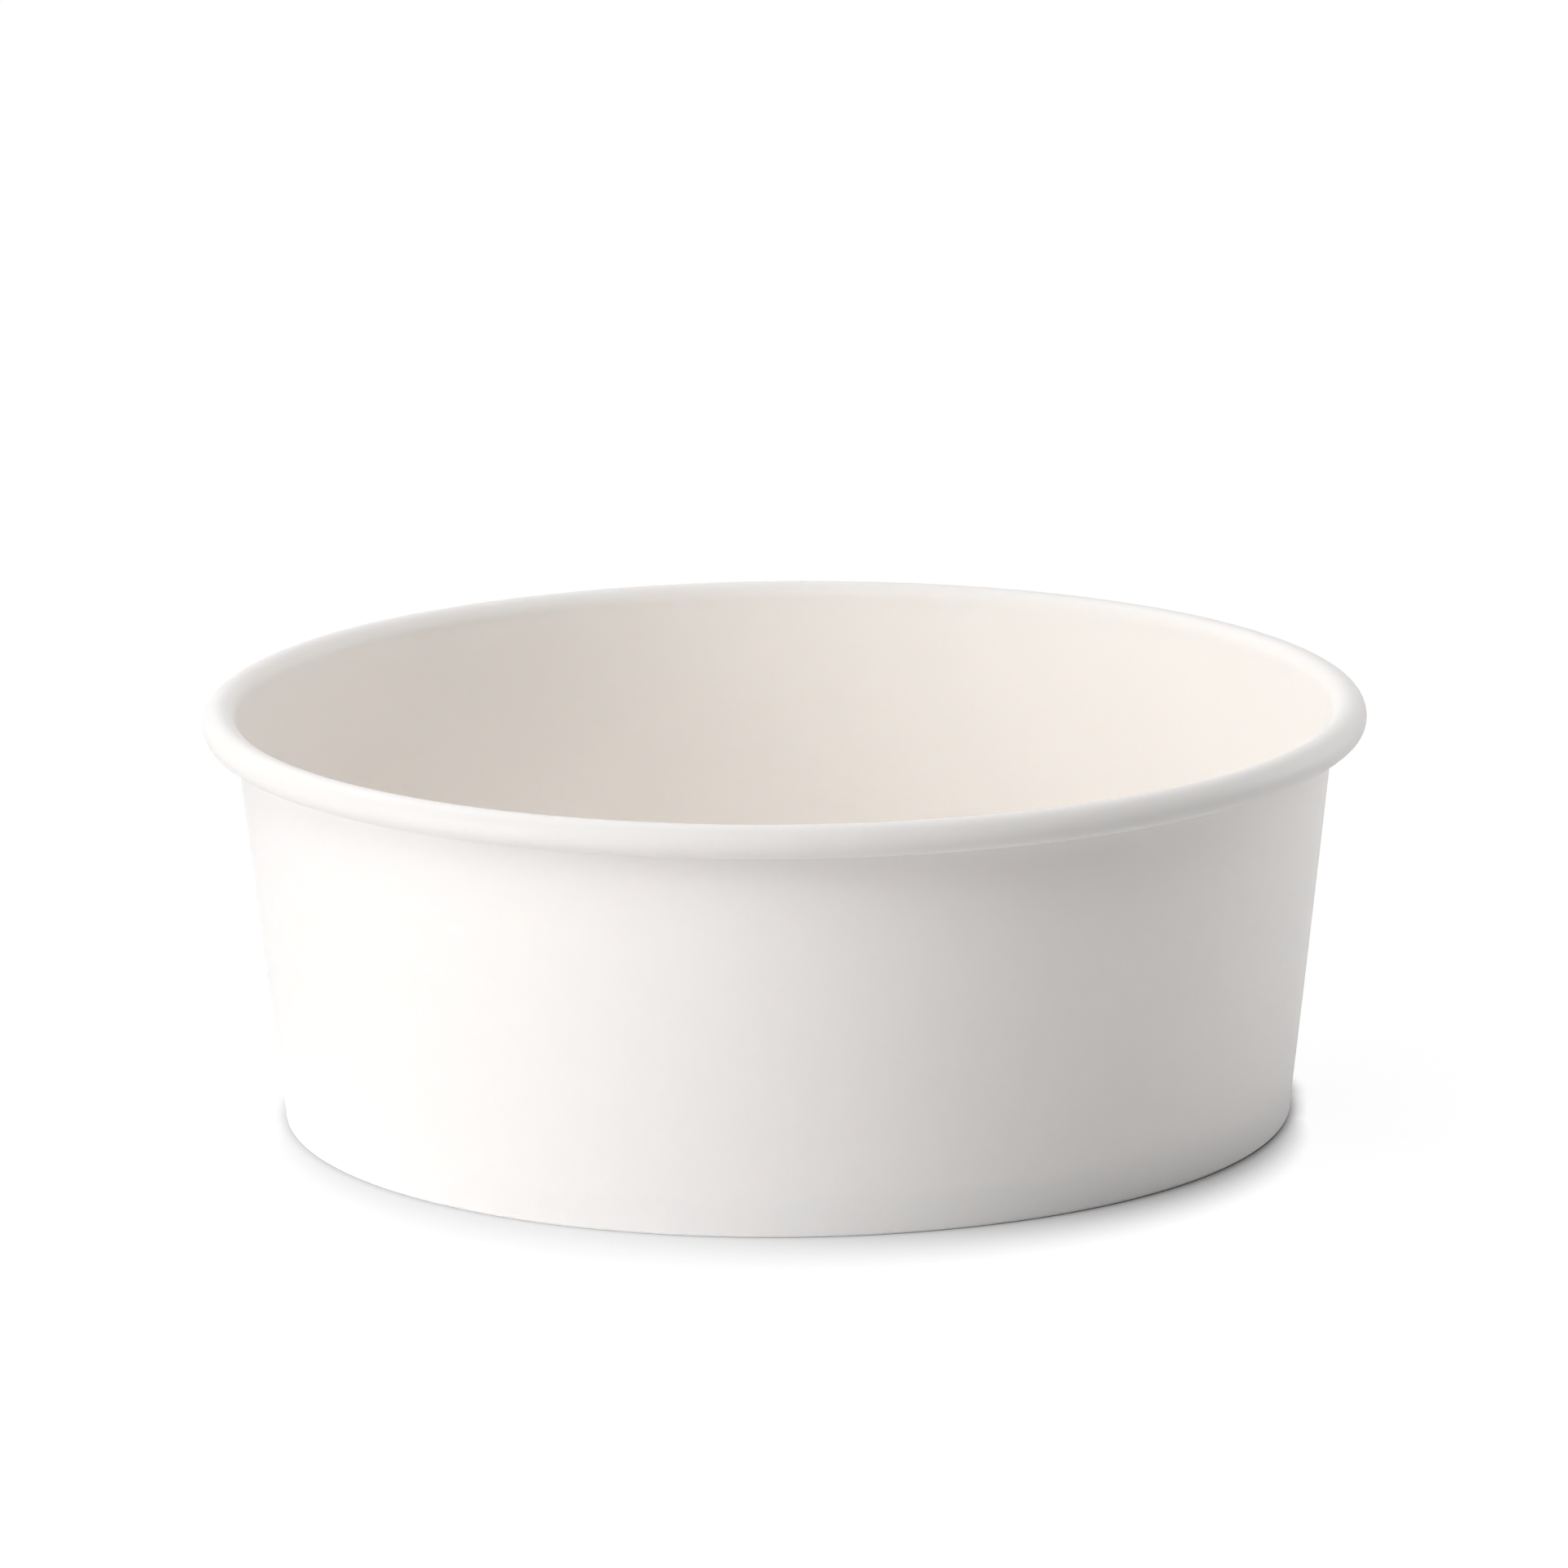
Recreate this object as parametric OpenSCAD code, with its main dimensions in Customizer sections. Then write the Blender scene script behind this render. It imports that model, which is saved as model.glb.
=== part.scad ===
// A paper salad bowl: a flared wall wrapped from one fan of paperboard, glued at a side seam,
// with its top edge rolled into a rim and its bottom edge folded up round a recessed disc.
// The axis is Z. The bowl stands on Z = 0, and the seam lies beside +X.

/* [Bowl] */
// Outside diameter over the rolled rim
rim_d = 185; // [175:1:210]
// Outside diameter of the wall where it stands
base_d = 161; // [140:1:168]
// Height over the rolled rim
height = 67; // [40:1:110]
// Thickness of the paperboard
board = 0.42; // [0.3:0.02:0.6]

/* [Rolled rim] */
// Diameter of the roll
roll_d = 5.4; // [4:0.1:7]
// Air between the turns of the roll
roll_gap = 0.1; // [0.06:0.02:0.2]
// How far the board's end runs on inside the roll, in degrees
tuck_turn = 70; // [20:5:120]

/* [Foot] */
// Height of the disc's underside above the table
disc_recess = 7; // [5:0.5:14]
// Outside radius of the bend between the disc and its skirt
disc_bend_r = 1.1; // [0.8:0.1:2]
// Room left between the skirt's lower edge and the fold
skirt_room = 0.2; // [0.1:0.1:1]
// Room left between the hem's edge and the disc's bend
hem_room = 0.8; // [0.4:0.1:2]
// Width of the flat that the table presses into the fold
foot_flat = 0.6; // [0.3:0.1:0.8]
// Film of glue on each side of the skirt
glue_line = 0.05; // [0.04:0.01:0.1]

/* [Side seam] */
// Width of the lap
lap_w = 7; // [5:0.5:12]
// Length over which the board's outer end climbs on to the lap
lap_rise = 4; // [3:0.5:8]
// Place of the lap round the bowl, in degrees from +X towards +Y
seam_angle = 4; // [0:1:359]

/* [Hidden] */
$fn = 180;

BOARD_COLOUR = [0.96, 0.95, 0.93];
DISC_COLOUR = [0.93, 0.92, 0.89];

base_r = base_d / 2;
roll_r = roll_d / 2;
roll_bore_r = roll_r - board;

// Sections are drawn with radius along x and height along y.
// The wall's outer face runs from the table at base_r up to where it touches the roll's bore.
roll_centre = [rim_d / 2 - roll_r, height - roll_r];
foot_to_roll = roll_centre - [base_r, 0];
wall_tilt = atan(foot_to_roll.x / foot_to_roll.y) - asin(roll_bore_r / norm(foot_to_roll));

// The slope frame has its origin at the roll's centre, x out across the board and y up the wall.
wall_in_x = -roll_r;
wall_out_x = -roll_bore_r;

// Where the line x of the slope frame passes the height z.
function slope_y(x, z) = (z - roll_centre.y + x * sin(wall_tilt)) / cos(wall_tilt);

// The point of the section at x, y of the slope frame.
function on_section(x, y) = roll_centre
    + x * [cos(wall_tilt), -sin(wall_tilt)] + y * [sin(wall_tilt), cos(wall_tilt)];

// The roll's lower half turn is the smaller one, so that its end passes inside the wall.
lower_turn_r = roll_r - (board + roll_gap) / 2;
tuck_r = roll_bore_r - roll_gap;

// The fold at the foot holds the skirt with a film of glue on each side.
slot_w = board + 2 * glue_line;
fold_r = board + slot_w / 2;
flat_depth = fold_r - sqrt(pow(fold_r, 2) - pow(foot_flat / 2, 2));
fold_x = wall_out_x - fold_r;
fold_y = slope_y(fold_x, fold_r - flat_depth);

// The disc's bend puts the skirt's outer face a film of glue inside the wall.
bend_z = disc_recess + board - disc_bend_r;
bend_x = wall_in_x - glue_line - disc_bend_r;
bend_y = slope_y(bend_x, bend_z);
bend_centre = on_section(bend_x, bend_y);
skirt_len = bend_y - fold_y - skirt_room;
hem_len = bend_y - fold_y - hem_room;

// The lap runs from below the table's level, where the table cuts it off, up to where the roll's
// lower turn leaves just enough room for it. Its root reaches most of the way through the wall.
lap_root = 0.85 * board;
lap_foot_y = fold_y - 2 * fold_r;
lap_top_y = -sqrt(pow(lower_turn_r, 2) - pow(lower_turn_r - board, 2));
lap_sweep = lap_w / base_r * 180 / PI;
rise_sweep = lap_rise / base_r * 180 / PI;
rise_lead = 1.3;
below_table = roll_d;

// The board's end climbs on the side of a cone as wide as the lap's face, moved aside by lap_shift.
lap_face_r = base_r + board / cos(wall_tilt);
rise_foot = base_r * [cos(rise_sweep), -sin(rise_sweep)];
rise_chord = [lap_face_r, 0] - rise_foot;
rise_in = [-rise_chord.y, rise_chord.x] / norm(rise_chord);
lap_shift = rise_foot + rise_chord / 2
    + rise_in * sqrt(pow(lap_face_r, 2) - pow(norm(rise_chord) / 2, 2));

module in_slope_frame() {
    translate(roll_centre) rotate(-wall_tilt) children();
}

// A strip of board bent to an outside radius r, from one angle to another at most 180 degrees on.
module bent_board(r, from, to) {
    intersection() {
        difference() {
            circle(r);
            circle(r - board);
        }
        rotate(from) translate([-2 * r, 0]) square([4 * r, 2 * r]);
        rotate(to) translate([-2 * r, -2 * r]) square([4 * r, 2 * r]);
    }
}

// A straight strip of board that ends on the x axis and runs down from there.
module straight_board(x, len) {
    translate([x, -len]) square([board, len]);
}

// The wall with its rolled rim and its hem, as one bent strip.
module wall_section() {
    in_slope_frame() {
        bent_board(roll_r, 0, 180);
        translate([roll_r - lower_turn_r, 0]) bent_board(lower_turn_r, 180, 360);
        bent_board(tuck_r, 180 - tuck_turn, 180);
        straight_board(wall_in_x, -fold_y);
        translate([fold_x, fold_y]) {
            bent_board(fold_r, 180, 360);
            translate([-fold_r, 0]) square([board, hem_len]);
        }
    }
}

// The disc, the bend at its edge and the skirt that hangs from the bend.
module disc_section() {
    translate([0, disc_recess]) square([bend_centre.x, board]);
    translate(bend_centre) {
        bent_board(disc_bend_r, -wall_tilt, 90);
        rotate(-wall_tilt) straight_board(disc_bend_r - board, skirt_len);
    }
}

// The second layer of board, rooted in the wall.
module lap_section() {
    in_slope_frame()
        translate([wall_out_x - lap_root, lap_foot_y]) square([lap_root + board, lap_top_y - lap_foot_y]);
}

module side_lap() {
    intersection() {
        rotate(-rise_lead * rise_sweep)
            rotate_extrude(angle = rise_lead * rise_sweep + lap_sweep) lap_section();
        translate([lap_shift.x, lap_shift.y, -below_table]) cylinder(
            h = below_table + height,
            r1 = lap_face_r - below_table * tan(wall_tilt),
            r2 = lap_face_r + height * tan(wall_tilt)
        );
    }
}

module sidewall() {
    color(BOARD_COLOUR) difference() {
        union() {
            rotate_extrude() wall_section();
            rotate(seam_angle) side_lap();
        }
        translate([0, 0, -below_table]) cylinder(h = below_table, r = rim_d);
    }
}

module base_disc() {
    color(DISC_COLOUR) rotate_extrude() disc_section();
}

sidewall();
base_disc();
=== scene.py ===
# %% [markdown]
# A paper salad bowl, dressed for its picture. The real one is two pieces of white board: a fan-shaped
# blank wrapped into a flared wall, with its top edge rolled and its bottom edge folded, and a round
# disc glued into the fold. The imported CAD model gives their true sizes. Here each piece is drawn again
# as what it is, one strip of board carried round the bowl, with the small irregularities of pressed
# paper, and then gets its surface, its light and its camera.

import math

import bmesh
import bpy
import numpy as np
from mathutils import Matrix, Vector


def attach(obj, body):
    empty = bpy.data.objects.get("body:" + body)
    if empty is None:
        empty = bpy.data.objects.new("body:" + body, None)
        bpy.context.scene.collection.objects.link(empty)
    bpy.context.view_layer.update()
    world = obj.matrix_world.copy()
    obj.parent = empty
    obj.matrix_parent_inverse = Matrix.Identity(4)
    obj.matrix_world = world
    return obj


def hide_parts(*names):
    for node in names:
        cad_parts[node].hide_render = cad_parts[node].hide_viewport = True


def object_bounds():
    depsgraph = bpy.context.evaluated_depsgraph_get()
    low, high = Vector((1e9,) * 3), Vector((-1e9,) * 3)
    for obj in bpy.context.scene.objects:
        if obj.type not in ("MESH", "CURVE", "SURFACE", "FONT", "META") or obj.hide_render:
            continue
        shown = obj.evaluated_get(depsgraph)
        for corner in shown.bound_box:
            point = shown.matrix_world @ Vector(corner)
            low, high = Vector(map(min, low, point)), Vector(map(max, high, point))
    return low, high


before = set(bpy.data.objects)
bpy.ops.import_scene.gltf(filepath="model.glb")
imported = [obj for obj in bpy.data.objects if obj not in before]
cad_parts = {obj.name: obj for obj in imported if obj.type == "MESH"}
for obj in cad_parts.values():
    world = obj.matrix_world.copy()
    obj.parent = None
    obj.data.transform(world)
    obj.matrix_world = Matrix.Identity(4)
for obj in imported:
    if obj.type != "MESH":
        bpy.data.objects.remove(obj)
cad_low, cad_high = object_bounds()
MM = 0.001
print("CAD box in mm:", [round(v / MM, 2) for v in (*cad_low, *cad_high)])

# %% [markdown]
# The camera comes first, because everything after it is judged through it. It stands a metre and a
# half in front of the bowl with a long lens, so the far side of the rim is hardly smaller than the
# near side. A camera can be aimed with a constraint, but here its three axes are worked out from how
# far it looks down, to the side and how far it is rolled, so that it can be matched to a picture.

# %% The camera
LENS_MM = 227.4
SENSOR_MM = 36
CAMERA_BACK = 1.5401
CAMERA_UP = 0.4069
LOOKS_DOWN = math.radians(12.952)
LOOKS_ASIDE = math.radians(-0.0071)
ROLLED = math.radians(-0.5509)


def camera_axes(down, aside, rolled):
    """The camera's right, up and backward directions. It looks along +Y, turned aside, down and rolled."""
    ahead = np.array([math.sin(aside) * math.cos(down), math.cos(aside) * math.cos(down), -math.sin(down)])
    level = np.array([math.cos(aside), -math.sin(aside), 0])
    above = np.cross(level, ahead)
    right = math.cos(rolled) * level + math.sin(rolled) * above
    up = math.cos(rolled) * above - math.sin(rolled) * level
    return right, up, -ahead


camera_data = bpy.data.cameras.new("camera")
camera_data.lens = LENS_MM
camera_data.sensor_width = SENSOR_MM
camera = bpy.data.objects.new("camera", camera_data)
bpy.context.scene.collection.objects.link(camera)
axes = np.array(camera_axes(LOOKS_DOWN, LOOKS_ASIDE, ROLLED)).T
camera.matrix_world = Matrix.Translation((0, -CAMERA_BACK, CAMERA_UP)) @ Matrix(axes.tolist()).to_4x4()
bpy.context.scene.camera = camera
print("camera looks down by", round(math.degrees(LOOKS_DOWN), 2), "degrees")

# %% [markdown]
# The bowl's own sizes. The rim and the height are read from the CAD box, and the few others are the
# board's: how thick it is, how wide the roll, the fold and the lap are. All else follows from them, the
# lean of the wall too: its outer face runs from the table up to where it touches the roll's bore.

# %% The bowl's sizes, in millimetres
RIM_R = cad_high.x / MM
HEIGHT = cad_high.z / MM
BASE_R = 80.5
BOARD = 0.42
ROLL_R = 2.7
ROLL_GAP = 0.1
TUCK_TURN = 70
DISC_RECESS = 7
DISC_BEND_R = 1.1
SKIRT_ROOM = 0.2
HEM_ROOM = 0.8
FOOT_FLAT = 0.6
GLUE_LINE = 0.05
LAP_W = 7
LAP_RISE = 4
SEAM_AT = math.radians(4)

half_board = BOARD / 2
bore_r = ROLL_R - BOARD
roll_centre = np.array([RIM_R - ROLL_R, HEIGHT - ROLL_R])
foot_to_roll = roll_centre - np.array([BASE_R, 0])
tilt = math.atan2(*foot_to_roll) - math.asin(bore_r / np.hypot(*foot_to_roll))
across = np.array([math.cos(tilt), -math.sin(tilt)])
along = np.array([math.sin(tilt), math.cos(tilt)])
print("the wall leans out by", round(math.degrees(tilt), 3), "degrees")


def slope_y(x, z):
    """How far up the slope the line x passes the height z. The slope frame starts at the roll's centre."""
    return (z - roll_centre[1] + x * math.sin(tilt)) / math.cos(tilt)


fold_mid_r = GLUE_LINE + BOARD
fold_x = -bore_r - BOARD - fold_mid_r + half_board
fold_outer_r = fold_mid_r + half_board
flat_depth = fold_outer_r - math.sqrt(fold_outer_r**2 - (FOOT_FLAT / 2) ** 2)
fold_y = slope_y(fold_x, fold_outer_r - flat_depth)
bend_x = -ROLL_R - GLUE_LINE - DISC_BEND_R
bend_y = slope_y(bend_x, DISC_RECESS + BOARD - DISC_BEND_R)
hem_len = bend_y - fold_y - HEM_ROOM
skirt_len = bend_y - fold_y - SKIRT_ROOM
print("hem", round(hem_len, 2), "mm high, skirt", round(skirt_len, 2), "mm high")

# %% [markdown]
# A bent board is a line with a thickness. Its middle line is a chain of straight stretches and arcs,
# and at each station of the line the board's two faces lie half a thickness away on either side. The
# line could be drawn as a curve with a bevel, but stations in numpy let every face be moved on its own,
# where the seam laps, where the hem is ribbed and where the table flattens the fold.

# %% A middle line made of straight stretches and arcs
def straight(start, stop, count, normal):
    """Stations on a straight line, start + (stop - start) * share, all with the same normal."""
    share = np.linspace(0, 1, count)[:, None]
    points = np.array(start) + (np.array(stop) - np.array(start)) * share
    return points, np.tile(np.array(normal, float), (count, 1))


def arc(centre, radius, start, stop, count, inward=False):
    """Stations centre + radius * (cos a, sin a) for a from start to stop in degrees, with that normal."""
    angle = np.radians(np.linspace(start, stop, count))
    out = np.stack([np.cos(angle), np.sin(angle)], 1)
    return np.array(centre) + radius * out, -out if inward else out


def chain(*stretches):
    """One line of stations from several in a row. Where two meet, the doubled station is left out."""
    points = np.concatenate([p if k == 0 else p[1:] for k, (p, n) in enumerate(stretches)])
    normals = np.concatenate([n if k == 0 else n[1:] for k, (p, n) in enumerate(stretches)])
    steps = np.linalg.norm(np.diff(points, axis=0), axis=1)
    return points, normals, np.concatenate([[0], np.cumsum(steps)])


def on_section(points, normals):
    """Turns stations of the slope frame into radius and height: centre + x * across + y * along."""
    turn = np.array([across, along])
    return roll_centre + points @ turn, normals @ turn


# %% [markdown]
# The wall's line starts at the hem's free edge inside the foot, goes down and round the fold, up the
# wall, over the roll, under it and back up inside it. The normal always points to the food side of the
# board, which is the lined face that shows inside the bowl and, because the edge rolls outwards, all
# over the roll. The other face is the plain outside.

# %% The wall's middle line
CUT_ROUND = 0.06
HEM_STATIONS = 6
FOLD_STATIONS = 11
WALL_STATIONS = 15
ROLL_STATIONS = 17
LOWER_STATIONS = 15
TUCK_STATIONS = 4
wall_x = -ROLL_R + half_board
lower_outer_r = ROLL_R - (BOARD + ROLL_GAP) / 2
tuck_mid_r = bore_r - ROLL_GAP - half_board
hem_top = [fold_x - fold_mid_r, fold_y + hem_len - CUT_ROUND]
hem_foot = [fold_x - fold_mid_r, fold_y]
wall_stretches = [
    straight(hem_top, hem_foot, HEM_STATIONS, (1, 0)),
    arc((fold_x, fold_y), fold_mid_r, 180, 360, FOLD_STATIONS, inward=True),
    straight((wall_x, fold_y), (wall_x, 0), WALL_STATIONS, (-1, 0)),
    arc((0, 0), ROLL_R - half_board, 180, 0, ROLL_STATIONS),
    arc((ROLL_R - lower_outer_r, 0), lower_outer_r - half_board, 0, -180, LOWER_STATIONS),
    arc((0, 0), tuck_mid_r, 180, 180 - TUCK_TURN, TUCK_STATIONS),
]
wall_points, wall_normals, wall_run = chain(*wall_stretches)
wall_mid, wall_food_dir = on_section(wall_points, wall_normals)
hem_end, fold_end, wall_end = np.cumsum([len(p) - 1 for p, normals in wall_stretches])[:3]
print("the wall's line has", len(wall_mid), "stations and is", round(wall_run[-1], 1), "mm long")

# %% [markdown]
# Round the bowl the line is set down at one azimuth after another. The columns are even, three to each
# rib of the hem, and two more stand close together on each side of both cut ends of the seam, so that
# the step there is as sharp as a cut.

# %% The columns round the bowl
RIBS = 240
CUT_STEP = 0.02 / BASE_R
rise_sweep = LAP_RISE / BASE_R
lap_sweep = LAP_W / BASE_R
inner_cut = SEAM_AT
outer_cut = SEAM_AT + lap_sweep
even = np.linspace(0, 2 * math.pi, 3 * RIBS, endpoint=False)
cuts = np.array([inner_cut, outer_cut])
azimuth = np.sort(np.concatenate([even, cuts - CUT_STEP, cuts + CUT_STEP]))
print(len(azimuth), "columns")


def smooth(value, start, stop):
    """0 before start, 1 after stop, and 3 t^2 - 2 t^3 between them, where t is the share of the way."""
    t = np.clip((value - start) / (stop - start), 0, 1)
    return t * t * (3 - 2 * t)


climb = smooth(azimuth, inner_cut - rise_sweep, inner_cut)
over_lap = (climb * (azimuth < outer_cut))[:, None]
before_inner_cut = (climb * (azimuth < inner_cut))[:, None]

# %% [markdown]
# Nothing in a paper bowl is quite round. The rim springs into a slight oval with a few waves in it, and
# the wall's sheet is a little uneven, while the pressed foot stays true. These are sums of a few cosines
# round the bowl, fading in with height. A noise texture would do as well, but cosines close on
# themselves at the seam without any care.

# %% How far the board is out of round, in millimetres
OVAL = 0.14
OVAL_TURN = 0.7
WAVE = 0.022
WAVES = np.arange(3, 15)
MOST_CLIMB = 1.6
TRUE_BELOW = 0.12
WAVES_FULL_AT = 0.35
chance = np.random.default_rng(11)
wave_shift = chance.uniform(0, 2 * math.pi, len(WAVES))
wave_climb = chance.uniform(-MOST_CLIMB, MOST_CLIMB, len(WAVES))


def out_of_round(turn, height):
    """OVAL * cos(2 a) + the sum over k of WAVE * cos(k a + shift + climb * h), faded in with the height h."""
    h = height / HEIGHT
    angles = WAVES * turn[:, None, None] + wave_shift + wave_climb * h[None, :, None] * math.pi
    waves = WAVE * np.cos(angles).sum(-1) / np.sqrt(len(WAVES)) * 2
    oval = OVAL * np.cos(2 * turn + OVAL_TURN)[:, None]
    return oval * smooth(h, TRUE_BELOW, 1.0) + waves * smooth(h, TRUE_BELOW, WAVES_FULL_AT)


# %% [markdown]
# The two faces. Outside, the board's outer end climbs over the inner one within four millimetres, lies
# on it for seven and ends in a sharp cut. Under the roll it is squeezed into the little room that the
# roll leaves. On the food side the press has flattened the inner end almost flush, so only a shallow
# step shows, and it fades out on the roll, where the iron presses hardest. The hem is ribbed where the
# knurling wheel pressed it on to the skirt, and the same press leaves a hardly visible band round the
# foot of the wall.

# %% The thickness on each side of the middle line
PRESSED_STEP = 0.06
STEP_LEFT_ON_ROLL = 0.25
STEP_FADES_FROM = wall_end - 4
STEP_FADES_TO = wall_end + 2
HEM_LAP = 0.24
RIB = 0.11
RIBS_RISE = (0.1, 0.3)
RIBS_FALL = (0.75, 1.0)
PRESS_BAND = 0.035
BAND_FADE = (-1.0, 2.0)
SQUEEZE = 0.03

station = np.arange(len(wall_mid))
up_slope = wall_points[:, 1]
hem_share = np.clip(wall_run / wall_run[hem_end], 0, 1)

lower_turn_depth = np.sqrt(np.maximum(lower_outer_r**2 - up_slope**2, 0))
under_roll = ROLL_R - lower_outer_r - lower_turn_depth + bore_r - SQUEEZE
beside_roll = (up_slope > -lower_outer_r) & (station > fold_end)
lap_room = np.where(beside_roll, np.clip(under_roll, 0, BOARD), BOARD)
fold_share = np.clip((station - hem_end) / (fold_end - hem_end), 0, 1)
lap_depth = (HEM_LAP + (BOARD - HEM_LAP) * fold_share) * (lap_room / BOARD) * (station <= wall_end)
ribs = 0.5 + 0.5 * np.cos(RIBS * azimuth)
rib_window = smooth(hem_share, *RIBS_RISE) * (1 - smooth(hem_share, *RIBS_FALL)) * (station <= hem_end)
skirt_top = slope_y(wall_x, DISC_RECESS + BOARD)
above_skirt = smooth(up_slope, skirt_top + BAND_FADE[0], skirt_top + BAND_FADE[1])
on_wall = smooth(station, fold_end, fold_end + 1) * (station <= wall_end)
band = (1 - above_skirt) * on_wall

step_fade = 1 - (1 - STEP_LEFT_ON_ROLL) * smooth(station, STEP_FADES_FROM, STEP_FADES_TO)
food_side = half_board - PRESSED_STEP * before_inner_cut * step_fade
outside = half_board + lap_depth * over_lap + RIB * ribs[:, None] * rib_window - PRESS_BAND * band
print("thickest board in mm:", round(float((food_side + outside).max()), 3))

# %% [markdown]
# A closed grid of points becomes a mesh in one step: each face joins four neighbours, and in both
# directions the last row joins the first. foreach_set hands the arrays to Blender whole. The faces are
# told apart as outside, food side and cut edge, because each has its own finish, and a UV map in metres
# remembers where each point lay on the flat blank.

# %% From arrays to a mesh
OUTSIDE, FOOD_SIDE, CUT_EDGE = 0, 1, 2
SHARP_FROM = math.radians(38)


def fill_mesh(name, points, faces, finish, uv):
    """A mesh object at the origin: points in mm, faces of four, a finish per face, a UV per corner."""
    mesh = bpy.data.meshes.new(name)
    mesh.vertices.add(len(points))
    mesh.vertices.foreach_set("co", (points * MM).astype(np.float32).ravel())
    mesh.loops.add(faces.size)
    mesh.loops.foreach_set("vertex_index", faces.astype(np.int32).ravel())
    mesh.polygons.add(len(faces))
    mesh.polygons.foreach_set("loop_start", np.arange(len(faces), dtype=np.int32) * 4)
    mesh.polygons.foreach_set("material_index", finish.astype(np.int32))
    mesh.uv_layers.new(name="blank").data.foreach_set("uv", (uv * MM).astype(np.float32).ravel())
    mesh.polygons.foreach_set("use_smooth", np.ones(len(faces), bool))
    mesh.update(calc_edges=True)
    mesh.validate()
    mesh.set_sharp_from_angle(angle=SHARP_FROM)
    piece = bpy.data.objects.new(name, mesh)
    bpy.context.scene.collection.objects.link(piece)
    return piece


def volume(points, faces):
    """Volume inside the faces in mm^3, positive where they point outwards: the sum of a . (b x c) / 6."""
    a, b, c, d = (points[faces[:, k]] for k in range(4))
    return float(((a * np.cross(b, c)).sum() + (a * np.cross(c, d)).sum()) / 6)


def closed_grid(rows, columns):
    """Faces of a grid that closes both ways, where i, j joins i + 1 and j + 1, and each corner's i and j."""
    i, j = np.meshgrid(np.arange(rows), np.arange(columns), indexing="ij")
    corner_i = np.stack([i, i + 1, i + 1, i], -1).reshape(-1, 4)
    corner_j = np.stack([j, j, j + 1, j + 1], -1).reshape(-1, 4)
    return corner_i % rows * columns + corner_j % columns, corner_i, corner_j


# %% [markdown]
# The wall's outline is a loop: along the food side, round the cut end, back along the outside and round
# the other cut end. Where the outside would dip below the table it is pressed flat, which is the narrow
# ring that the bowl stands on.

# %% The wall's outline at every column
def cut_end(mid, direction, normal, food, out):
    """The two points of a cut end: CUT_ROUND beyond the last station, and as much in from either face."""
    tip = mid + CUT_ROUND * direction
    return tip + normal * (food - CUT_ROUND)[:, None], tip - normal * (out - CUT_ROUND)[:, None]


def board_loop(mid, food_dir, food, out):
    """For each column the closed outline: food face, cut end, outer face backwards, cut end."""
    food_face = mid + food_dir * food[:, :, None]
    outer_face = mid - food_dir * out[:, :, None]
    last = (mid[-1] - mid[-2]) / np.linalg.norm(mid[-1] - mid[-2])
    first = (mid[0] - mid[1]) / np.linalg.norm(mid[0] - mid[1])
    end_food, end_out = cut_end(mid[-1], last, food_dir[-1], food[:, -1], out[:, -1])
    start_food, start_out = cut_end(mid[0], first, food_dir[0], food[:, 0], out[:, 0])
    far_end = [end_food[:, None], end_out[:, None]]
    near_end = [start_out[:, None], start_food[:, None]]
    return np.concatenate([food_face, *far_end, outer_face[:, ::-1], *near_end], 1)


def round_the_loop(values):
    """One value per station, told again for each point of the outline: food face, two, backwards, two."""
    return np.concatenate([values, values[-1:], values[-1:], values[::-1], values[:1], values[:1]])


loop = board_loop(wall_mid, wall_food_dir, food_side, outside)
radius = loop[..., 0] + out_of_round(azimuth, round_the_loop(wall_mid[:, 1]))
height = np.maximum(loop[..., 1], 0)
wall_xyz = np.stack([radius * np.cos(azimuth)[:, None], radius * np.sin(azimuth)[:, None], height], -1)
columns = wall_xyz.shape[1]
print("the outline has", columns, "points in each of", len(azimuth), "columns")

# %% [markdown]
# A face's finish follows from where it lies on the outline. The narrow faces that stand across the
# board at the seam's two ends are cuts too. Each corner keeps its place on the flat blank: how far
# round the bowl, and how far along the strip.

# %% The wall's faces and finishes
n = len(wall_mid)
wall_faces, corner_i, corner_j = closed_grid(len(azimuth), columns)
round_bowl = np.append(azimuth, 2 * math.pi + azimuth[0]) * BASE_R
face_j = corner_j[:, 0]
face_i = corner_i[:, 0]
run = np.append(round_the_loop(wall_run), wall_run[0])
wall_uv = np.stack([round_bowl[corner_i], run[corner_j]], -1)

outer_half = np.where(face_j < 2 * n + 1, OUTSIDE, CUT_EDGE)
finish = np.where(face_j < n - 1, FOOD_SIDE, np.where(face_j < n + 2, CUT_EDGE, outer_half))
middle_of = (round_bowl[face_i] + round_bowl[face_i + 1]) / 2 / BASE_R
at_inner = np.abs(middle_of - inner_cut) < CUT_STEP / 2
at_outer = np.abs(middle_of - outer_cut) < CUT_STEP / 2
seam_cut = (at_inner & (finish == FOOD_SIDE)) | (at_outer & (finish == OUTSIDE))
finish = np.where(seam_cut, CUT_EDGE, finish)
print("cut faces:", int((finish == CUT_EDGE).sum()), "of", len(finish))
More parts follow.
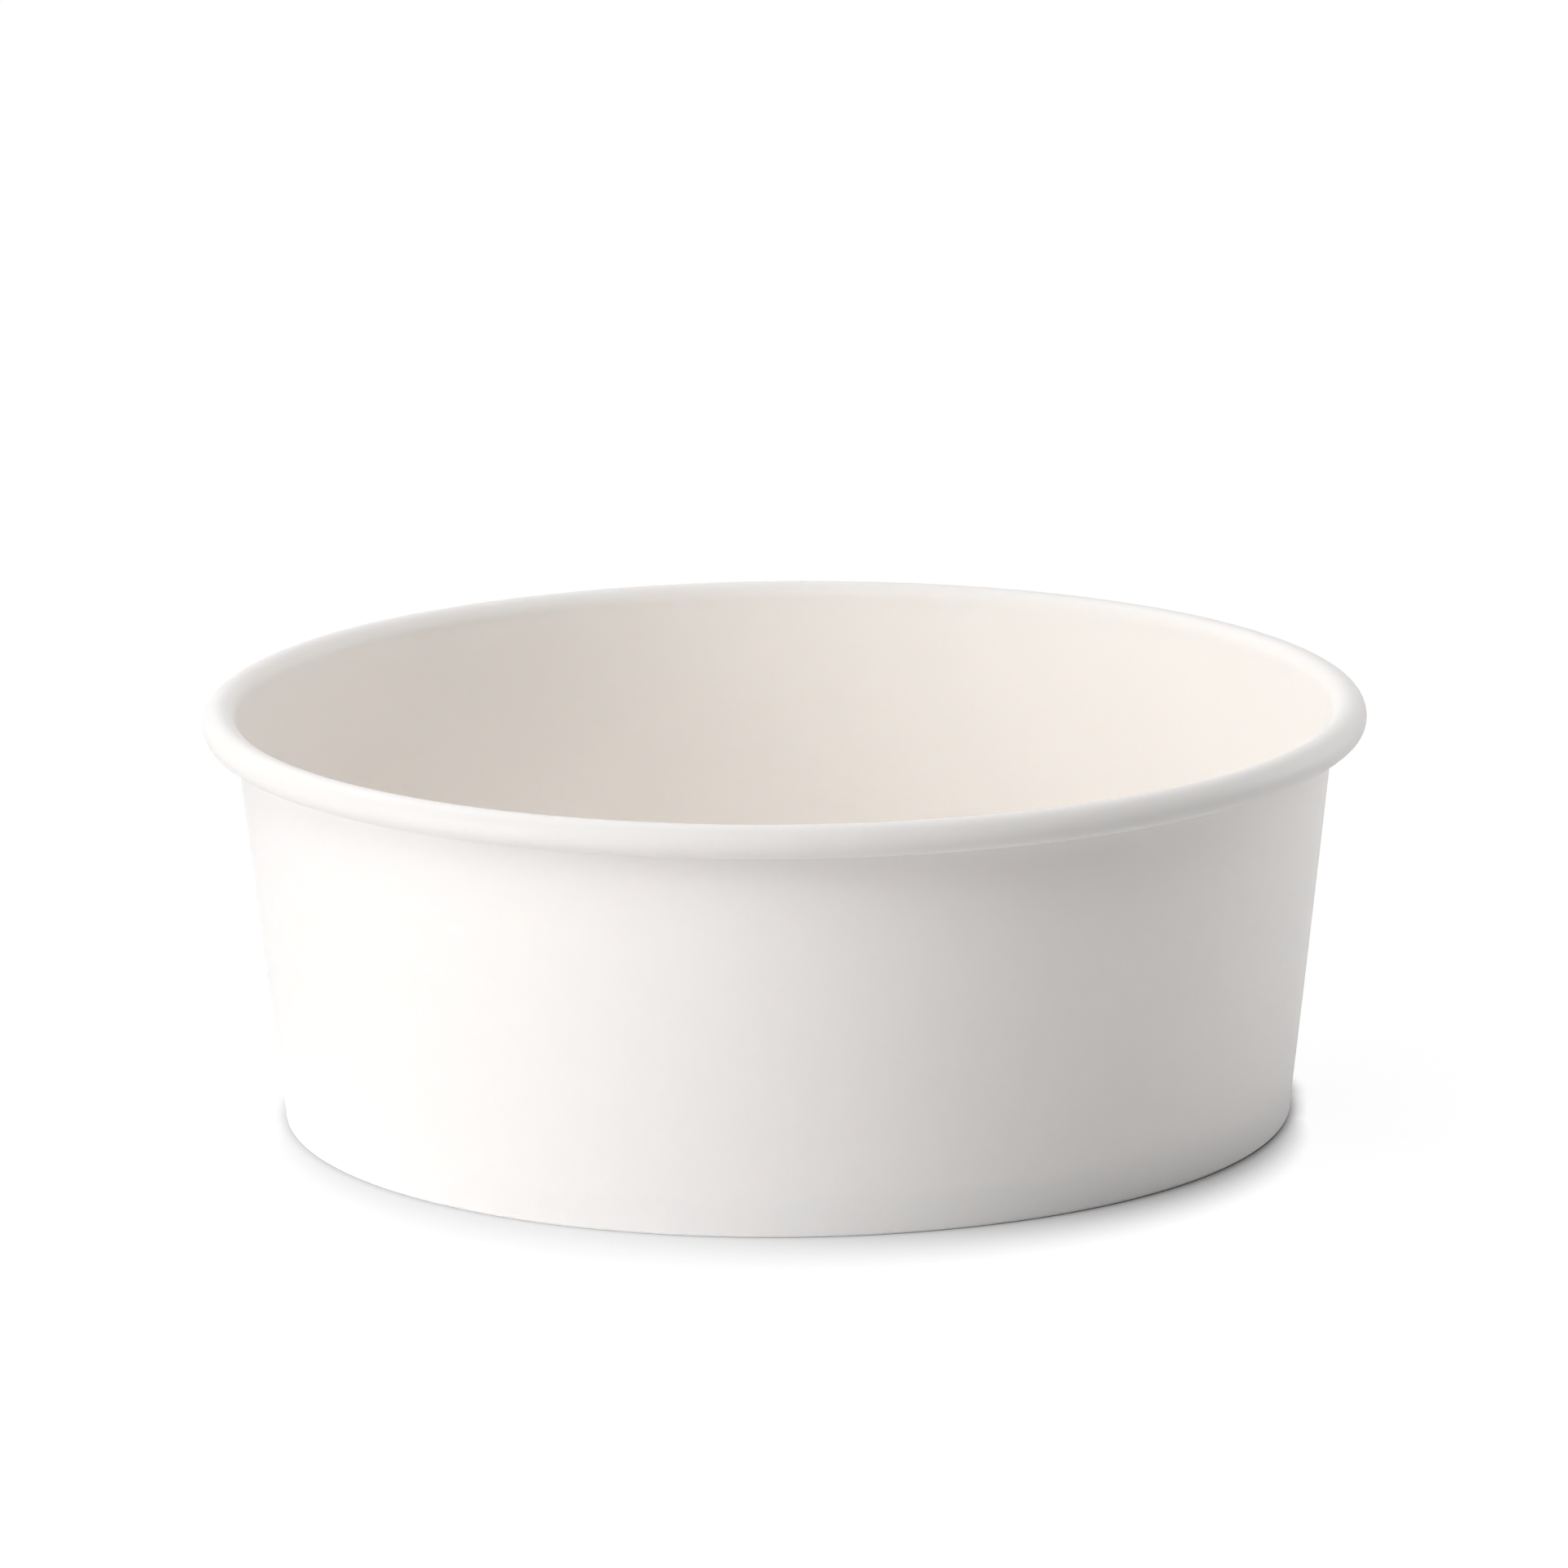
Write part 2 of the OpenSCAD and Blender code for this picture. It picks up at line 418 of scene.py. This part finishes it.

# %% [markdown]
# The wall goes into the scene as one closed surface that faces outwards, which its volume tells: a
# negative one means that the faces run the wrong way round. A number on each point, rolled, goes from
# 0 on the wall to 1 a few millimetres on to the roll, where the finish mixes in the roll's painted
# shade.

# %% The wrapped wall with its roll, lap and hem
ROLLED_FROM = 0.8
ROLLED_TO = 3.0
wall_points_flat = wall_xyz.reshape(-1, 3)
if volume(wall_points_flat, wall_faces) < 0:
    wall_faces, wall_uv = wall_faces[:, ::-1], wall_uv[:, ::-1]
wrapped_wall = fill_mesh("wrapped_wall", wall_points_flat, wall_faces, finish, wall_uv)
# rolled: 0 on the wall to 1 on the roll, where the finish mixes in the roll's painted shade
rolled = smooth(run[:columns] - wall_run[wall_end], ROLLED_FROM, ROLLED_TO)
rolled_values = np.tile(rolled, len(azimuth)).astype(np.float32)
wrapped_wall.data.attributes.new("rolled", "FLOAT", "POINT").data.foreach_set("value", rolled_values)
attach(wrapped_wall, "root")
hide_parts("sidewall")
wall_volume = round(volume(wall_points_flat, wall_faces))
print("wrapped wall:", 2 * len(wall_faces), "triangles,", wall_volume, "mm3 of board")

# %% [markdown]
# The base is a round blank pushed into the bowl with its edge turned down. Its line starts at the
# middle, runs out to the bend and down the skirt. At the middle all columns meet, so the first station
# is one point for them all.

# %% The base's middle line
PLATE_STATIONS = 30
BEND_STATIONS = 9
SKIRT_STATIONS = 5
PUCKERS = 96
bend_centre = roll_centre + bend_x * across + bend_y * along
plate_z = DISC_RECESS + half_board
bend_mid_r = DISC_BEND_R - half_board
plate_r = bend_centre[0] * np.sin(np.linspace(0, math.pi / 2, PLATE_STATIONS))
plate = np.stack([plate_r, np.full_like(plate_r, plate_z)], 1), np.tile([0.0, 1.0], (len(plate_r), 1))
bend = arc(bend_centre, bend_mid_r, 90, -math.degrees(tilt), BEND_STATIONS)
skirt_start = bend_centre + bend_mid_r * across
skirt = straight(skirt_start, skirt_start - (skirt_len - CUT_ROUND) * along, SKIRT_STATIONS, across)
disc_mid, disc_food_dir, disc_run = chain(plate, bend, skirt)
disc_turn = np.linspace(0, 2 * math.pi, 4 * PUCKERS, endpoint=False)
print("the base's line has", len(disc_mid), "stations and", len(disc_turn), "columns")

# %% [markdown]
# A flat sheet that is glued only at its edge never stays flat. It hangs a third of a millimetre, and
# near the bend, where the blank had too much edge for its circle, it puckers.

# %% The base's sag and puckers, in millimetres
SAG = 0.35
PUCKER = 0.05
PUCKERS_RISE = (0.955, 0.985)
PUCKERS_FALL = (0.99, 1.0)
SHEET_WAVE = 0.06
WAVES_FALL = (0.9, 1.0)


def base_lift(turn, distance):
    """-SAG * (1 - q^2)^2 plus slow waves and edge puckers, where q is distance over the bend's radius."""
    q = np.clip(distance / bend_centre[0], 0, 1)[None, :]
    a = turn[:, None]
    slow = np.cos(2 * a + 1.1) + 0.6 * np.cos(3 * a + 4 * q) + 0.4 * np.cos(5 * a - 3 * q)
    waves = SHEET_WAVE * q**2 * slow
    depth = 0.6 + 0.4 * np.cos(7 * a + 0.5) * np.cos(4 * a + 2.0)
    waves = waves * (1 - smooth(q, *WAVES_FALL))
    puckers = PUCKER * depth * np.cos(PUCKERS * a) * smooth(q, *PUCKERS_RISE)
    return -SAG * (1 - q**2) ** 2 + waves + puckers * (1 - smooth(q, *PUCKERS_FALL))


thickness = np.full((len(disc_turn), len(disc_mid)), half_board)
food_face = disc_mid + disc_food_dir * thickness[:, :, None]
under_face = disc_mid - disc_food_dir * thickness[:, :, None]
last_way = -along
end_food, end_under = cut_end(disc_mid[-1], last_way, disc_food_dir[-1], thickness[:, -1], thickness[:, -1])
disc_loop = np.concatenate([food_face, end_food[:, None], end_under[:, None], under_face[:, ::-1]], 1)
disc_loop[:, [0, -1], 0] = 0
lift = base_lift(disc_turn, disc_mid[:, 0])
disc_loop[..., 1] += np.concatenate([lift, lift[:, -1:], lift[:, -1:], lift[:, ::-1]], 1)
disc_xyz = np.stack(
    [
        disc_loop[..., 0] * np.cos(disc_turn)[:, None],
        disc_loop[..., 0] * np.sin(disc_turn)[:, None],
        disc_loop[..., 1],
    ],
    -1,
)
print("the base hangs by", round(float(-lift.min()), 2), "mm in the middle")

# %% [markdown]
# The base's grid closes round the bowl but not across it: its first and last columns are the two poles,
# top and underside, where every row has the same point. The rows' pole points are merged into one, and
# the faces there become triangles.

# %% The base as a mesh with closed poles
def open_grid(rows, columns):
    """Faces of a grid that closes only round the rows. Also each corner's own i and j."""
    i, j = np.meshgrid(np.arange(rows), np.arange(columns - 1), indexing="ij")
    corner_i = np.stack([i, i + 1, i + 1, i], -1).reshape(-1, 4)
    corner_j = np.stack([j, j, j + 1, j + 1], -1).reshape(-1, 4)
    return corner_i % rows * columns + corner_j, corner_i, corner_j


m = len(disc_mid)
disc_faces, disc_i, disc_j = open_grid(len(disc_turn), disc_xyz.shape[1])
disc_face_j = disc_j[:, 0]
disc_finish = np.where(disc_face_j < m - 1, FOOD_SIDE, np.where(disc_face_j < m + 2, CUT_EDGE, OUTSIDE))
flat_r = np.concatenate([disc_run, disc_run[-1:], disc_run[-1:], disc_run[::-1]])
corner_turn = np.append(disc_turn, 2 * math.pi)[disc_i]
disc_uv = np.stack([flat_r[disc_j] * np.cos(corner_turn), flat_r[disc_j] * np.sin(corner_turn)], -1)
disc_points = disc_xyz.reshape(-1, 3)
if volume(disc_points, disc_faces) < 0:
    disc_faces, disc_uv = disc_faces[:, ::-1], disc_uv[:, ::-1]
recessed_base = fill_mesh("recessed_base", disc_points, disc_faces, disc_finish, disc_uv)


def merge_poles(piece, distance):
    """Merges the points closer than distance to the axis, which closes the poles with triangles."""
    work = bmesh.new()
    work.from_mesh(piece.data)
    near_axis = [v for v in work.verts if v.co.x**2 + v.co.y**2 < distance**2]
    bmesh.ops.remove_doubles(work, verts=near_axis, dist=distance)
    work.to_mesh(piece.data)
    work.free()
    return len(near_axis)


POLE_REACH = 0.01 * MM
print("merged", merge_poles(recessed_base, POLE_REACH), "points into two poles")
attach(recessed_base, "root")
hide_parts("base_disc")
disc_volume = round(volume(disc_points, disc_faces))
print("recessed base:", 2 * len(disc_faces), "triangles,", disc_volume, "mm3 of board")

# %% [markdown]
# Paper board is white but never blank. Seen close, it has a cloudy formation of denser and thinner
# spots a few millimetres wide, and a felt of fibres a fraction of a millimetre wide, both drawn out a
# little along the way the machine ran. One node group makes both from the blank's own UV map, so the
# pattern bends with the board as the real one does. It could be painted per material, but a group with
# named inputs keeps the outside, the food side and the cut edge from drifting apart.

# %% The shared paper pattern
FORMATION_PER_METRE = 340
FIBRES_PER_METRE = 3600
MACHINE_WAY = (1.0, 0.55, 1.0)


def socket(group, name, way, kind):
    """Adds one named input or output to a node group."""
    return group.interface.new_socket(name, in_out=way, socket_type=kind)


def link(tree, source, target):
    """Joins an output socket to an input socket."""
    tree.links.new(source, target)


def noise(tree, vector, per_metre, detail, rough):
    """A noise texture with that many lumps to a metre, reading a vector in metres."""
    node = tree.nodes.new("ShaderNodeTexNoise")
    node.inputs["Scale"].default_value = per_metre
    node.inputs["Detail"].default_value = detail
    node.inputs["Roughness"].default_value = rough
    link(tree, vector, node.inputs["Vector"])
    return node.outputs["Fac"]


def paper_pattern():
    """Group: blank position in, cloudy formation and fibre felt out, both about 0.5 in the mean."""
    group = bpy.data.node_groups.new("paper_pattern", "ShaderNodeTree")
    socket(group, "Blank", "INPUT", "NodeSocketVector")
    socket(group, "Formation", "OUTPUT", "NodeSocketFloat")
    socket(group, "Fibres", "OUTPUT", "NodeSocketFloat")
    inlet = group.nodes.new("NodeGroupInput")
    outlet = group.nodes.new("NodeGroupOutput")
    machine_way = group.nodes.new("ShaderNodeMapping")
    machine_way.inputs["Scale"].default_value = MACHINE_WAY
    link(group, inlet.outputs["Blank"], machine_way.inputs["Vector"])
    formation = noise(group, machine_way.outputs["Vector"], FORMATION_PER_METRE, detail=3, rough=0.55)
    fibres = noise(group, machine_way.outputs["Vector"], FIBRES_PER_METRE, detail=4, rough=0.6)
    link(group, formation, outlet.inputs["Formation"])
    link(group, fibres, outlet.inputs["Fibres"])
    return group


pattern_group = paper_pattern()
print("node group:", pattern_group.name)

# %% [markdown]
# Each finish is a Principled surface. Its colour swings by about one part in a hundred with the
# formation, its roughness with the fibres, and a very low bump gives the felt its tooth. The outside
# is calendered board. The food side has a thin film on it that fills the tooth, so it is a little
# smoother and warmer. Over the roll the colour is painted darker and greyer, a painted shade for the
# shade that falls on the roll, and the wall's attribute "rolled" says where. A cut edge is bare
# fibre: creamier, rougher and dull.
#
# White board isn't quite opaque either. A hundredth or two of the light comes through it, which lifts
# the side in the shade. A translucent shader would let it through whatever lies behind, but
# subsurface scattering walks it through the real thickness, so one layer of board glows faintly and
# the foot, where three lie on each other, doesn't.

# %% The three finishes of the board
def mixed(tree, factor, first, second):
    """A colour between first and second by factor."""
    node = tree.nodes.new("ShaderNodeMix")
    node.data_type = "RGBA"
    node.inputs["A"].default_value = (*first, 1)
    node.inputs["B"].default_value = (*second, 1)
    link(tree, factor, node.inputs["Factor"])
    return node.outputs["Result"]


def multiplied(tree, first, second):
    """The product of two colours."""
    node = tree.nodes.new("ShaderNodeMix")
    node.data_type = "RGBA"
    node.blend_type = "MULTIPLY"
    node.inputs["Factor"].default_value = 1.0
    link(tree, first, node.inputs["A"])
    link(tree, second, node.inputs["B"])
    return node.outputs["Result"]


def board_finish(name, colour, swing, rough, rough_swing, tooth, gloss):
    """A paper surface: colour, roughness, how far each swings, the tooth in metres and the gloss."""
    material = bpy.data.materials.new(name)
    material.use_nodes = True
    tree = material.node_tree
    surface = tree.nodes["Principled BSDF"]
    place = tree.nodes.new("ShaderNodeUVMap")
    place.uv_map = "blank"
    pattern = tree.nodes.new("ShaderNodeGroup")
    pattern.node_tree = pattern_group
    link(tree, place.outputs["UV"], pattern.inputs["Blank"])
    rolled = tree.nodes.new("ShaderNodeAttribute")
    rolled.attribute_name = "rolled"
    # painted shade: on the roll the board's colour goes over to a darker, greyer one
    board = mixed(tree, rolled.outputs["Fac"], colour, ROLL_PAINTED_SHADE)
    clouds = mixed(tree, pattern.outputs["Formation"], (1 - swing,) * 3, (1 + swing,) * 3)
    link(tree, multiplied(tree, board, clouds), surface.inputs["Base Color"])
    roughness = tree.nodes.new("ShaderNodeMapRange")
    roughness.inputs["To Min"].default_value = rough - rough_swing
    roughness.inputs["To Max"].default_value = rough + rough_swing
    link(tree, pattern.outputs["Fibres"], roughness.inputs["Value"])
    link(tree, roughness.outputs["Result"], surface.inputs["Roughness"])
    bump = tree.nodes.new("ShaderNodeBump")
    bump.inputs["Distance"].default_value = tooth
    bump.inputs["Strength"].default_value = 1.0
    link(tree, pattern.outputs["Fibres"], bump.inputs["Height"])
    link(tree, bump.outputs["Normal"], surface.inputs["Normal"])
    surface.inputs["IOR"].default_value = BOARD_IOR
    surface.inputs["Specular IOR Level"].default_value = gloss
    surface.inputs["Subsurface Weight"].default_value = 1.0
    surface.inputs["Subsurface Radius"].default_value = LIGHT_REACH_RGB
    surface.inputs["Subsurface Scale"].default_value = LIGHT_REACH
    return material


BOARD_WHITE = (0.850, 0.832, 0.822)
LINED_WHITE = (0.888, 0.855, 0.823)
# painted shade: the roll's darker, greyer colour stands in for the shade that falls on the roll
ROLL_PAINTED_SHADE = (0.808, 0.787, 0.772)
BOARD_IOR = 1.5
LIGHT_REACH = 0.27 * MM
LIGHT_REACH_RGB = (1.0, 0.93, 0.86)
RAW_FIBRE = (0.80, 0.75, 0.68)
CALENDERED = dict(swing=0.012, rough=0.58, rough_swing=0.06, tooth=0.004 * MM, gloss=0.4)
LINED = dict(swing=0.008, rough=0.50, rough_swing=0.05, tooth=0.002 * MM, gloss=0.3)
RAW = dict(swing=0.04, rough=0.85, rough_swing=0.1, tooth=0.02 * MM, gloss=0.2)
outside_board = board_finish("calendered_outside", BOARD_WHITE, **CALENDERED)
food_board = board_finish("lined_food_side", LINED_WHITE, **LINED)
raw_edge = board_finish("raw_cut_edge", RAW_FIBRE, **RAW)
for piece in (wrapped_wall, recessed_base):
    for material in (outside_board, food_board, raw_edge):
        piece.data.materials.append(material)
print("finishes:", [m.name for m in wrapped_wall.data.materials])

# %% [markdown]
# The floor's and the world's shaders are sums of a few measures. These helpers put in one Math node,
# one look at the Light Path and one mix of two shaders, so the sums below read as they are meant.

# %% Sums and mixes of nodes
def calculate(tree, operation, *values):
    """A Math node whose inputs are sockets or plain numbers."""
    node = tree.nodes.new("ShaderNodeMath")
    node.operation = operation
    for k, value in enumerate(values):
        if isinstance(value, (int, float)):
            node.inputs[k].default_value = value
        else:
            link(tree, value, node.inputs[k])
    return node.outputs[0]


def ray_is(tree, *kinds):
    """1 for a ray of any of these kinds, such as Is Camera Ray: the highest of the Light Path's outputs."""
    path = tree.nodes.new("ShaderNodeLightPath")
    level = path.outputs[kinds[0]]
    for kind in kinds[1:]:
        level = calculate(tree, "MAXIMUM", level, path.outputs[kind])
    return level


def mix_shader(tree, factor, first, second):
    """first where factor is 0 and second where it is 1."""
    node = tree.nodes.new("ShaderNodeMixShader")
    link(tree, factor, node.inputs[0])
    link(tree, first, node.inputs[1])
    link(tree, second, node.inputs[2])
    return node.outputs[0]


# %% [markdown]
# The floor is a plain pale sheet. A camera would see it as light grey beside a white bowl, so for camera
# rays alone it is shown as even white with a painted shadow of the bowl. The shadow is in three parts:
# a painted shade by how much of the sky the bowl covers close to its foot, as a soft light would leave
# it, darkest to the right in front, then a painted hairline right under the edge, and a share of the
# true lit floor. Ambient Occlusion measures the first two from the shapes themselves, so they follow
# the bowl in every view. For all other rays the sheet is diffuse, with painted shade in its colour close
# to the foot to the right in front and painted light, a little paler colour, on the other sides, so the
# foot of the wall takes up the shadow there and stays clear in front.

# %% The floor's measures
FLOOR_PALE = 0.88
FLOOR_R = 3.0
SHADOW_REACH = 20 * MM
LEAST_REACH = 3 * MM
SHADOW_SOFT = 0.40
SHADOW_DEEP = 1.08
SHADOW_SIDE = math.radians(56)
SHADOW_NARROW = 2.7
# painted shade and painted light in the floor's colour close to the foot
FOOT_PAINTED_SHADE = 0.5
FOOT_PAINTED_LIGHT = 0.12
FOOT_REACH = 11 * MM
LINE_REACH = 1.5 * MM
LINE_DEEP = 0.22
LIT_SHARE = 0.08
LIT_LIFT = 1.6
EVEN_FROM = 0.28
EVEN_TO = 0.42
SKY_SAMPLES = 8
FLOOR_CORNERS = 96
print("the floor's shadow reaches", round(SHADOW_REACH / MM), "mm out from the foot")

# %% [markdown]
# Two measures shape the painted shadow: how much of the sky is covered, and on which side of the bowl a
# point lies. The second could be a mask drawn in an image, but the dot product of two directions is
# exact and has no edge.

# %% Where the shadow lies
def covered(tree, reach):
    """The share of the sky that something within reach covers, from 0 to 1."""
    node = tree.nodes.new("ShaderNodeAmbientOcclusion")
    node.samples = SKY_SAMPLES
    if isinstance(reach, float):
        node.inputs["Distance"].default_value = reach
    else:
        link(tree, reach, node.inputs["Distance"])
    return calculate(tree, "SUBTRACT", 1.0, node.outputs["AO"])


def toward(tree, place, angle):
    """1 at that angle round from the front towards the right, 0 from a quarter turn away."""
    unit = tree.nodes.new("ShaderNodeVectorMath")
    unit.operation = "NORMALIZE"
    link(tree, place, unit.inputs[0])
    dot = tree.nodes.new("ShaderNodeVectorMath")
    dot.operation = "DOT_PRODUCT"
    link(tree, unit.outputs["Vector"], dot.inputs[0])
    dot.inputs[1].default_value = (math.sin(angle), -math.cos(angle), 0)
    return calculate(tree, "MAXIMUM", dot.outputs["Value"], 0.0)


# %% [markdown]
# The material adds them up: white less the painted shade and the painted hairline, a small share of the
# lit floor, and from a quarter of a metre out plain white, so that no edge of the lamps' light can be
# seen there.

# %% The floor's material
def floor_finish():
    """A diffuse pale floor, painted darker and paler near the foot, which the camera sees as white less a
    painted shadow and, far out, as plain white.
    """
    material = bpy.data.materials.new("pale_floor")
    material.use_nodes = True
    tree = material.node_tree
    tree.nodes.clear()
    place = tree.nodes.new("ShaderNodeTexCoord").outputs["Object"]
    distance = tree.nodes.new("ShaderNodeVectorMath")
    distance.operation = "LENGTH"
    link(tree, place, distance.inputs[0])
    out_from_foot = calculate(tree, "SUBTRACT", distance.outputs["Value"], BASE_R * MM)
    fade = calculate(tree, "EXPONENT", calculate(tree, "DIVIDE", out_from_foot, -FOOT_REACH))
    side = calculate(tree, "POWER", toward(tree, place, SHADOW_SIDE), SHADOW_NARROW)
    near_foot = calculate(tree, "MINIMUM", fade, 1.0)
    dark = calculate(tree, "MULTIPLY", near_foot, side)
    light = calculate(tree, "SUBTRACT", near_foot, dark)
    # painted shade and painted light: for all rays but the camera's the floor is darker near the foot to the
    # right in front, and a little paler near it on the other sides
    pale = calculate(tree, "MULTIPLY_ADD", dark, -FOOT_PAINTED_SHADE * FLOOR_PALE, FLOOR_PALE)
    pale = calculate(tree, "MULTIPLY_ADD", light, FOOT_PAINTED_LIGHT, pale)
    plain = tree.nodes.new("ShaderNodeBsdfDiffuse")
    link(tree, pale, plain.inputs["Color"])
    # painted shadow: the camera sees white less a shade from how much sky the bowl covers, deepest to the
    # right in front
    depth = calculate(tree, "MULTIPLY_ADD", side, SHADOW_DEEP, SHADOW_SOFT)
    reach = calculate(tree, "MULTIPLY", toward(tree, place, 0.0), SHADOW_REACH)
    reach = calculate(tree, "MAXIMUM", reach, LEAST_REACH)
    shade = calculate(tree, "MULTIPLY", covered(tree, reach), depth)
    # painted shadow: a dark hairline right under the foot's edge
    line = calculate(tree, "MULTIPLY", covered(tree, LINE_REACH), LINE_DEEP)
    left = calculate(tree, "SUBTRACT", 1.0, calculate(tree, "ADD", shade, line))
    white = tree.nodes.new("ShaderNodeEmission")
    link(tree, calculate(tree, "MAXIMUM", left, 0.0), white.inputs["Color"])
    lit = tree.nodes.new("ShaderNodeBsdfDiffuse")
    lit.inputs["Color"].default_value = (FLOOR_PALE * LIT_LIFT,) * 3 + (1,)
    near = tree.nodes.new("ShaderNodeMixShader")
    near.inputs[0].default_value = LIT_SHARE
    link(tree, white.outputs[0], near.inputs[1])
    link(tree, lit.outputs[0], near.inputs[2])
    far = tree.nodes.new("ShaderNodeMapRange")
    far.interpolation_type = "SMOOTHSTEP"
    far.inputs["From Min"].default_value = EVEN_FROM
    far.inputs["From Max"].default_value = EVEN_TO
    link(tree, distance.outputs["Value"], far.inputs["Value"])
    open_white = tree.nodes.new("ShaderNodeEmission")
    seen = mix_shader(tree, far.outputs["Result"], near.outputs[0], open_white.outputs[0])
    result = mix_shader(tree, ray_is(tree, "Is Camera Ray"), plain.outputs[0], seen)
    output = tree.nodes.new("ShaderNodeOutputMaterial")
    link(tree, result, output.inputs["Surface"])
    return material


# %% [markdown]
# The sheet itself is one flat disc, far wider than the picture.

# %% The floor sheet
turn = np.linspace(0, 2 * math.pi, FLOOR_CORNERS, endpoint=False)
floor_mesh = bpy.data.meshes.new("floor")
floor_points = np.stack([FLOOR_R * np.cos(turn), FLOOR_R * np.sin(turn), np.zeros_like(turn)], -1)
floor_mesh.from_pydata(floor_points.tolist(), [], [list(range(len(turn)))])
floor_mesh.materials.append(floor_finish())
floor = bpy.data.objects.new("floor", floor_mesh)
bpy.context.scene.collection.objects.link(floor)
print("floor reaches", FLOOR_R, "m out")

# %% [markdown]
# The world is white to the camera and in reflections, and gives the bowl only the soft fill that a
# white room would.

# %% The world
FILL = 0.07


def white_room():
    """World: even white for camera, glossy and transmission rays, and the soft fill for all others."""
    world = bpy.data.worlds.new("white_room")
    world.use_nodes = True
    tree = world.node_tree
    tree.nodes.clear()
    fill = tree.nodes.new("ShaderNodeBackground")
    fill.inputs["Strength"].default_value = FILL
    shown = tree.nodes.new("ShaderNodeBackground")
    shown.inputs["Strength"].default_value = 1.0
    for background in (fill, shown):
        background.inputs["Color"].default_value = (1, 1, 1, 1)
    direct = ray_is(tree, "Is Camera Ray", "Is Glossy Ray", "Is Transmission Ray")
    result = mix_shader(tree, direct, fill.outputs[0], shown.outputs[0])
    output = tree.nodes.new("ShaderNodeOutputWorld")
    link(tree, result, output.inputs["Surface"])
    return world


bpy.context.scene.world = white_room()
print("fill:", FILL)

# %% [markdown]
# The light is that of a plain product table, with five broad lamps. A low key stands to the left in
# front, which leaves the left front of the wall bright and lets it fall off round the bowl. One above
# it lights the inside of the back. Two stand behind, high on the left and low on the right, and keep
# the rim and the right end from going flat. A weak one high on the right lifts the inside of the left.
# Large lamps are used, because small ones would draw hard shadow edges that a soft box doesn't.

# %% The lamps
AIM = Vector((0, 0, 0.03))
LAMP_DISTANCE = 1.6
LAMP_SIZE = 0.9
LAMPS = {
    "key": dict(aside=-60, up=10, watts=14.0),
    "front_high": dict(aside=-30, up=50, watts=12.0),
    "left_back": dict(aside=-150, up=50, watts=10.8),
    "right_high": dict(aside=90, up=50, watts=3.9),
    "right_back": dict(aside=120, up=10, watts=8.7),
}


def soft_box(name, aside, up, watts):
    """A square lamp aimed at the bowl, aside degrees round to the right and up degrees high."""
    data = bpy.data.lights.new(name, "AREA")
    data.shape = "SQUARE"
    data.size = LAMP_SIZE
    data.energy = watts
    lamp = bpy.data.objects.new(name, data)
    bpy.context.scene.collection.objects.link(lamp)
    a, e = math.radians(aside), math.radians(up)
    away = Vector((math.sin(a) * math.cos(e), -math.cos(a) * math.cos(e), math.sin(e)))
    lamp.location = AIM + LAMP_DISTANCE * away
    lamp.rotation_mode = "QUATERNION"
    lamp.rotation_quaternion = away.to_track_quat("Z", "Y")
    return lamp


for name, facts in LAMPS.items():
    soft_box(name, **facts)
bpy.context.scene.view_settings.view_transform = "Standard"
print("lamps:", {name: facts["watts"] for name, facts in LAMPS.items()})
